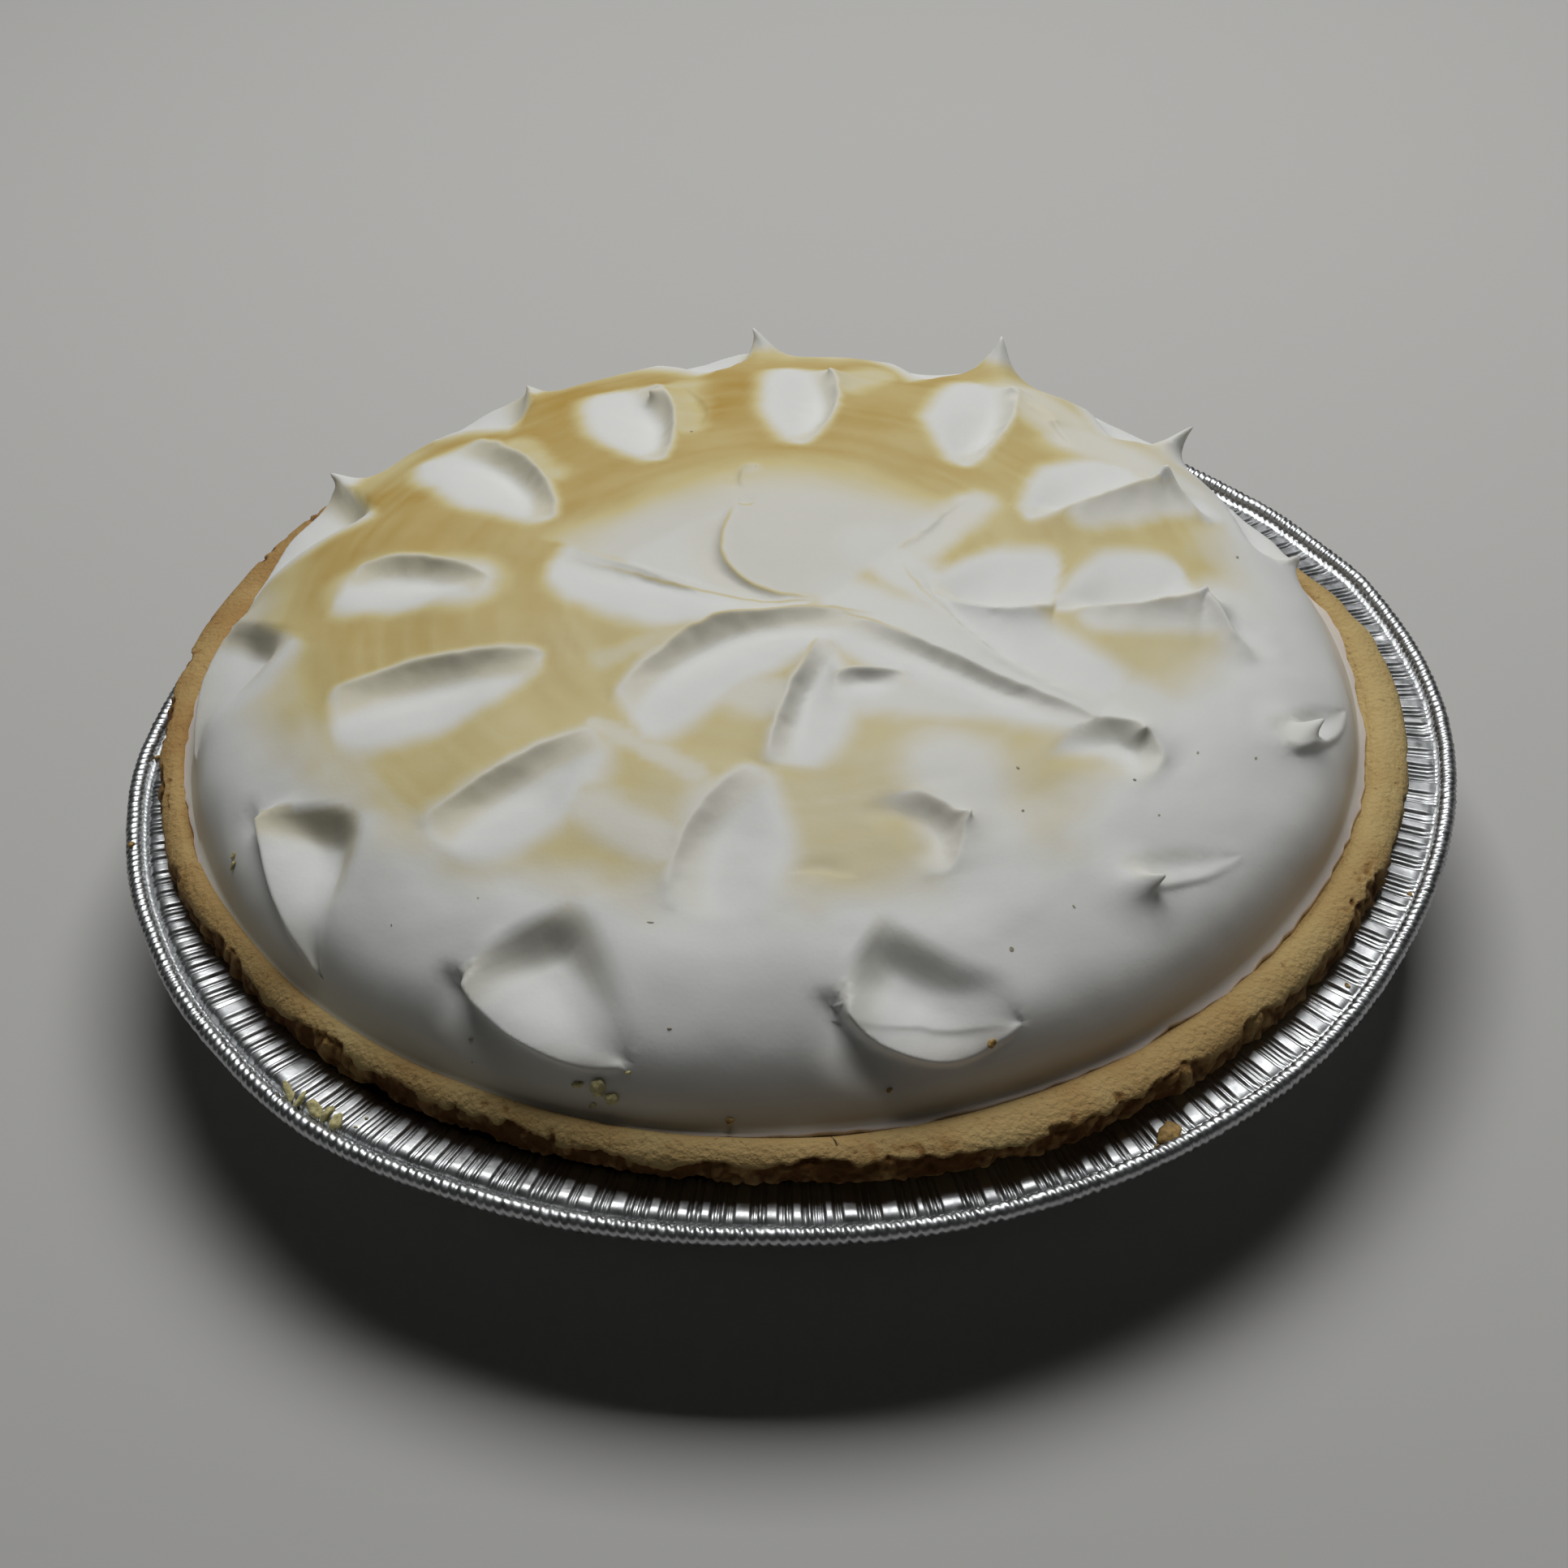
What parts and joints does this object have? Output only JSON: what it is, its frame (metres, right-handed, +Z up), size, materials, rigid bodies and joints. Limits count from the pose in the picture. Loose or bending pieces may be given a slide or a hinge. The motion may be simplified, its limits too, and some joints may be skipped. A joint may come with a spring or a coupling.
{
  "type": "meringue pie in a foil tin",
  "caption": "Whole key lime meringue pie: pastry crust with a crumbly rim under a swirled and browned meringue dome, in its own fluted foil tin.",
  "frame": {"origin": "on the table under the middle of the tin's floor", "axes": "+Z up through the pie, +X to the right and -Y towards the viewer of the picture"},
  "size_m": [0.229, 0.229, 0.0634],
  "materials": {
    "foil": "bright rolled foil, pressed into flutes",
    "pastry": "baked shortcrust pastry, matt, golden tan with browner broken edges; food, so matte_plastic stands in",
    "meringue": "soft baked meringue, white in the spooned hollows and golden on the browned top; food, so matte_plastic stands in"
  },
  "bodies": {
    "root": {"foil_tin": "foil", "crust": "pastry", "meringue": "meringue"}
  },
  "joints": []
}
